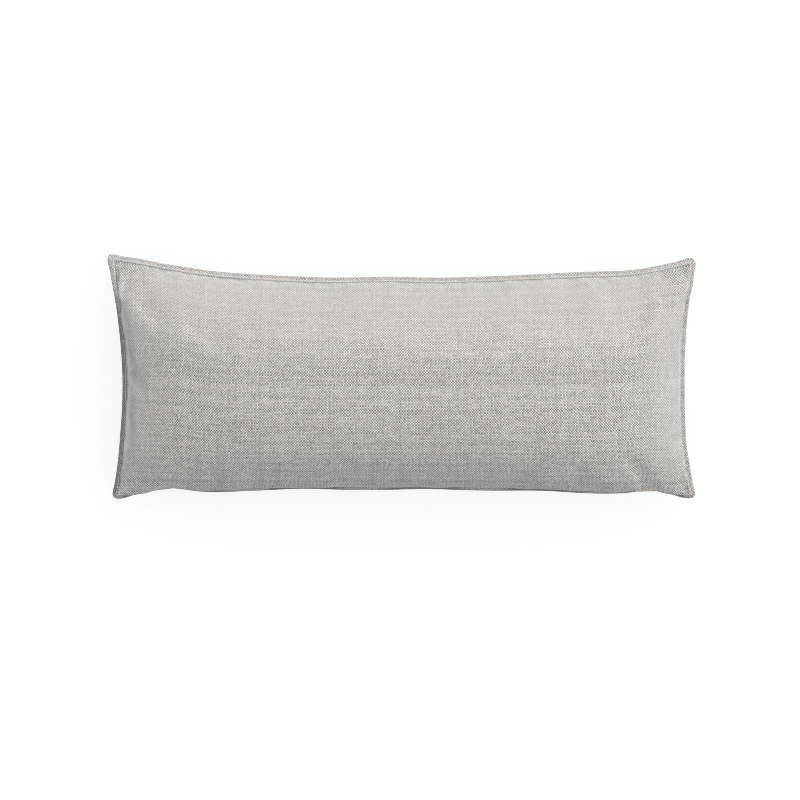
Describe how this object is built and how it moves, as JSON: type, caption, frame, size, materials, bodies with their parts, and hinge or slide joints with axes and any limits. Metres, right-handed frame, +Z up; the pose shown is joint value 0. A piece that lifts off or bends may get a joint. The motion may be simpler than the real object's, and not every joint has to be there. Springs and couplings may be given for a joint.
{
  "type": "lumbar cushion",
  "caption": "Long filled lumbar cushion in heathered grey cloth, two panels sewn together with a narrow topstitched raised edge, lying on its back.",
  "frame": {"origin": "middle of the cushion's outline, on the surface that it lies on", "axes": "+X along the cushion's length, +Y towards the upper long side of its face, +Z up out of the face"},
  "size_m": [0.6988, 0.2926, 0.114],
  "materials": {
    "panel_cloth": "plain-woven wool-look cloth, heathered light grey, matt with a soft nap",
    "edge_cloth": "the same cloth turned outwards and topstitched",
    "thread": "matt spun sewing thread, grey"
  },
  "bodies": {
    "root": {"cushion_body": "panel_cloth", "edge_flange": "edge_cloth"}
  },
  "joints": []
}
